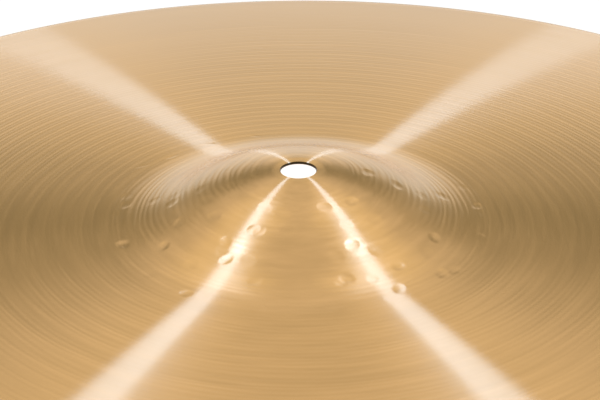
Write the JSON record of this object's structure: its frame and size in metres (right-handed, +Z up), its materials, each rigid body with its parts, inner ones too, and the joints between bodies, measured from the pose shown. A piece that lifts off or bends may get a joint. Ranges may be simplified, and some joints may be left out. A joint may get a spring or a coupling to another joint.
{
  "type": "suspended cymbal",
  "caption": "Thin round bronze cymbal with a raised bell, a centre hole, a shallow bow and a plain edge, hammered and lathed.",
  "frame": {"origin": "centre of the circle that the edge rests on, at the lowest level of the disc", "axes": "+Z up along the disc's axis, from the edge plane to the crown of the bell; X and Y in the edge plane"},
  "size_m": [0.4572, 0.4572, 0.0362],
  "materials": {
    "bronze": "hammered and lathed cymbal bronze, satin gloss, unlacquered"
  },
  "bodies": {
    "root": {"cymbal": "bronze"}
  },
  "joints": []
}
